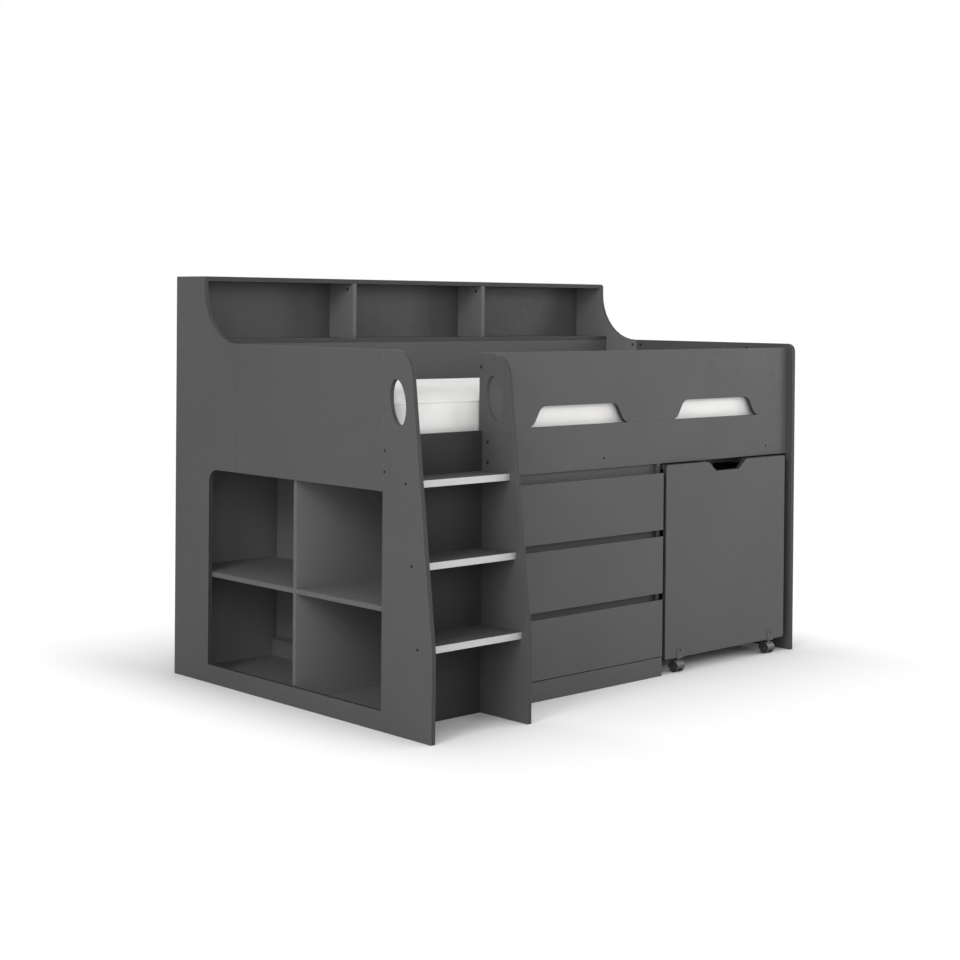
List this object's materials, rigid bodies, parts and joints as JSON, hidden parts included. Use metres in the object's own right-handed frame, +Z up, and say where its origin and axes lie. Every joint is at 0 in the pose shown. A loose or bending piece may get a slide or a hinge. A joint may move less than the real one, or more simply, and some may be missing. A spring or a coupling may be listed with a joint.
{
  "type": "mid sleeper bed",
  "caption": "Mid sleeper bed with ladder, bookcase end, drawers, pull-out desk on castors, rear shelf and mattress.",
  "frame": {"origin": "centre of the overall bounding box at floor level", "axes": "+X along the bed from the ladder end to the desk end, -Y towards the front with ladder, drawers and desk, +Z up"},
  "size_m": [1.98, 1.367, 1.385],
  "materials": {
    "laminate": "matt anthracite laminate on chipboard with matching edge bands",
    "strip_aluminium": "satin",
    "runner_steel": "zinc plated",
    "pine": "planed, unfinished",
    "mattress_cover": "knitted cover",
    "screw_steel": "black zinc",
    "cap_plastic": "moulded",
    "drawer_board": "light grey laminate",
    "bracket_steel": "grey powder coat",
    "castor_plastic": "moulded, satin",
    "castor_tread": "smooth tread"
  },
  "bodies": {
    "root": {"left_end_panel": "laminate", "left_end_infill": "laminate", "right_end_rear_panel": "laminate", "right_end_side_panel": "laminate", "ladder_right_panel": "laminate", "ladder_back_panel": "laminate", "tread_bottom": "laminate", "tread_middle": "laminate", "tread_top": "laminate", "tread_edge_strips": "strip_aluminium", "guard_upper_board": "laminate", "guard_lower_board": "laminate", "rear_inner_panel": "laminate", "shelf_top": "laminate", "shelf_bottom": "laminate", "shelf_divider_left": "laminate", "shelf_divider_right": "laminate", "rear_upper_panel": "laminate", "rear_lower_panel": "laminate", "bookcase_base": "laminate", "bookcase_divider": "laminate", "bookcase_shelf_front": "laminate", "bookcase_shelf_rear": "laminate", "bookcase_top": "laminate", "unit_left_side": "laminate", "unit_right_side": "laminate", "unit_plinth": "laminate", "unit_base": "laminate", "unit_top": "laminate", "unit_rails": "laminate", "unit_runners": "runner_steel", "slat_battens": "pine", "cross_beams": "pine", "slats": "pine", "mattress": "mattress_cover", "frame_screws": "screw_steel", "cam_caps": "cap_plastic"},
    "drawer_bottom": {"drawer_front_bottom": "laminate", "drawer_box_bottom": "drawer_board", "drawer_slides_bottom": "runner_steel"},
    "drawer_middle": {"drawer_front_middle": "laminate", "drawer_box_middle": "drawer_board", "drawer_slides_middle": "runner_steel"},
    "drawer_top": {"drawer_front_top": "laminate", "drawer_box_top": "drawer_board", "drawer_slides_top": "runner_steel"},
    "desk": {"desk_front": "laminate", "desk_top": "laminate", "desk_rear": "laminate", "desk_spine": "laminate", "castor_brackets": "bracket_steel"},
    "castor_1": {"castor_hood_1": "castor_plastic"},
    "wheels_1": {"castor_wheels_1": "castor_tread"},
    "castor_2": {"castor_hood_2": "castor_plastic"},
    "wheels_2": {"castor_wheels_2": "castor_tread"},
    "castor_3": {"castor_hood_3": "castor_plastic"},
    "wheels_3": {"castor_wheels_3": "castor_tread"},
    "castor_4": {"castor_hood_4": "castor_plastic"},
    "wheels_4": {"castor_wheels_4": "castor_tread"}
  },
  "joints": [
    {"name": "drawer_bottom_slide", "type": "slide", "parent": "root", "child": "drawer_bottom", "axis": [0, -1, 0], "range_m": [0, 0.38]},
    {"name": "drawer_middle_slide", "type": "slide", "parent": "root", "child": "drawer_middle", "axis": [0, -1, 0], "range_m": [0, 0.38]},
    {"name": "drawer_top_slide", "type": "slide", "parent": "root", "child": "drawer_top", "axis": [0, -1, 0], "range_m": [0, 0.38]},
    {"name": "desk_slide", "type": "slide", "parent": "root", "child": "desk", "axis": [0, -1, 0], "range_m": [0, 0.6]},
    {"name": "castor_1_swivel", "type": "hinge", "parent": "desk", "child": "castor_1", "pos_m": [0.3475, -0.4755, 0.05], "axis": [0, 0, 1], "continuous": true},
    {"name": "wheels_1_spin", "type": "hinge", "parent": "castor_1", "child": "wheels_1", "pos_m": [0.3475, -0.4685, 0.02], "axis": [1, 0, 0], "continuous": true},
    {"name": "castor_2_swivel", "type": "hinge", "parent": "desk", "child": "castor_2", "pos_m": [0.8595, -0.4755, 0.05], "axis": [0, 0, 1], "continuous": true},
    {"name": "wheels_2_spin", "type": "hinge", "parent": "castor_2", "child": "wheels_2", "pos_m": [0.8595, -0.4685, 0.02], "axis": [1, 0, 0], "continuous": true},
    {"name": "castor_3_swivel", "type": "hinge", "parent": "desk", "child": "castor_3", "pos_m": [0.3475, 0.3885, 0.05], "axis": [0, 0, 1], "continuous": true},
    {"name": "wheels_3_spin", "type": "hinge", "parent": "castor_3", "child": "wheels_3", "pos_m": [0.3475, 0.3955, 0.02], "axis": [1, 0, 0], "continuous": true},
    {"name": "castor_4_swivel", "type": "hinge", "parent": "desk", "child": "castor_4", "pos_m": [0.8595, 0.3885, 0.05], "axis": [0, 0, 1], "continuous": true},
    {"name": "wheels_4_spin", "type": "hinge", "parent": "castor_4", "child": "wheels_4", "pos_m": [0.8595, 0.3955, 0.02], "axis": [1, 0, 0], "continuous": true}
  ]
}
